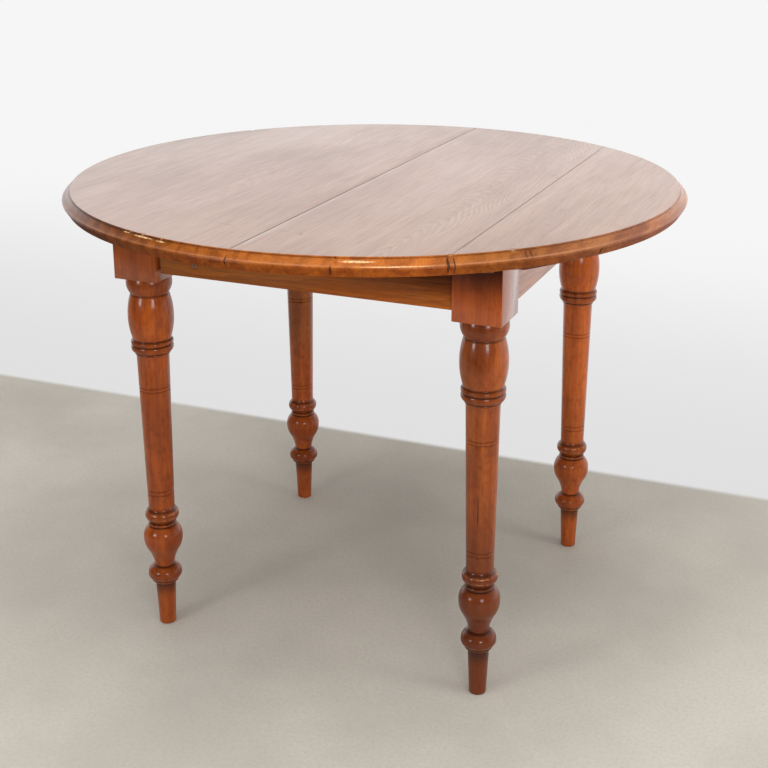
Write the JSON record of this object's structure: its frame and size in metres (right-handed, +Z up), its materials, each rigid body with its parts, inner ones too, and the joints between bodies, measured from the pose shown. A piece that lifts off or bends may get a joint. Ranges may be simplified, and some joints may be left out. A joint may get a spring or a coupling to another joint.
{
  "type": "butterfly leaf table",
  "caption": "Round wooden extending dining table on turned legs: a top split across the middle slides apart over a butterfly leaf stored in the frame.",
  "frame": {"origin": "on the floor under the middle of the round top", "axes": "+Z up; X is the way the two halves slide apart, +X to the right of the front; -Y is the front"},
  "size_m": [1.0278, 1.028, 0.76],
  "materials": {
    "top_wood": "satin",
    "leg_wood": "gloss",
    "apron_wood": "satin",
    "inner_wood": "matt",
    "leaf_wood": "satin",
    "brass": "worn",
    "steel": "dull"
  },
  "bodies": {
    "base": {"apron_back": "apron_wood", "apron_front": "apron_wood", "apron_left": "apron_wood", "apron_plug": "apron_wood", "apron_right": "apron_wood", "brace_back_left": "inner_wood", "brace_back_right": "inner_wood", "brace_front_left": "inner_wood", "brace_front_right": "inner_wood", "brace_screws": "steel", "leaf_bearer_left": "inner_wood", "leaf_bearer_right": "inner_wood", "leg_back_left": "leg_wood", "leg_back_right": "leg_wood", "leg_front_left": "leg_wood", "leg_front_right": "leg_wood", "rail_back": "inner_wood", "rail_front": "inner_wood"},
    "left_half": {"cleat_left_back": "inner_wood", "cleat_left_front": "inner_wood", "lock_plate_back": "brass", "lock_plate_front": "brass", "lock_screws_left": "brass", "runner_left_back": "inner_wood", "runner_left_front": "inner_wood", "seam_dowels": "inner_wood", "stop_pegs_left": "inner_wood", "top_left": "top_wood", "top_screws_left": "steel"},
    "right_half": {"cleat_right_back": "inner_wood", "cleat_right_front": "inner_wood", "lock_keeper_back": "brass", "lock_keeper_front": "brass", "lock_screws_right": "brass", "runner_right_back": "inner_wood", "runner_right_front": "inner_wood", "stop_pegs_right": "inner_wood", "top_right_inner": "top_wood", "top_right_outer": "top_wood", "top_screws_right": "steel"},
    "lock_lever_back": {"lock_lever_back": "brass"},
    "lock_lever_front": {"lock_lever_front": "brass"},
    "leaf_lower_half": {"leaf_dowels_lower": "inner_wood", "leaf_hinge_flaps_lower": "brass", "leaf_hinge_pins": "brass", "leaf_hinge_screws_lower": "brass", "leaf_lower": "leaf_wood"},
    "leaf_upper_half": {"leaf_dowels_upper": "inner_wood", "leaf_hinge_flaps_upper": "brass", "leaf_hinge_screws_upper": "brass", "leaf_upper": "leaf_wood"}
  },
  "joints": [
    {"name": "left_top_slide", "type": "slide", "parent": "base", "child": "left_half", "axis": [-1, 0, 0], "range_m": [0, 0.265]},
    {"name": "right_top_slide", "type": "slide", "parent": "base", "child": "right_half", "axis": [1, 0, 0], "range_m": [0, 0.265]},
    {"name": "front_lock_lever", "type": "hinge", "parent": "left_half", "child": "lock_lever_front", "pos_m": [-0.016, -0.425, 0.7265], "axis": [0, 0, -1], "range_deg": [0, 100]},
    {"name": "back_lock_lever", "type": "hinge", "parent": "left_half", "child": "lock_lever_back", "pos_m": [-0.016, 0.425, 0.7265], "axis": [0, 0, 1], "range_deg": [0, 100]},
    {"name": "leaf_lift", "type": "slide", "parent": "base", "child": "leaf_lower_half", "axis": [0, 0, 1], "range_m": [0, 0.01]},
    {"name": "leaf_fold", "type": "hinge", "parent": "leaf_lower_half", "child": "leaf_upper_half", "pos_m": [0.257, 0, 0.68215], "axis": [0, 1, 0], "range_deg": [0, 1.4]}
  ]
}
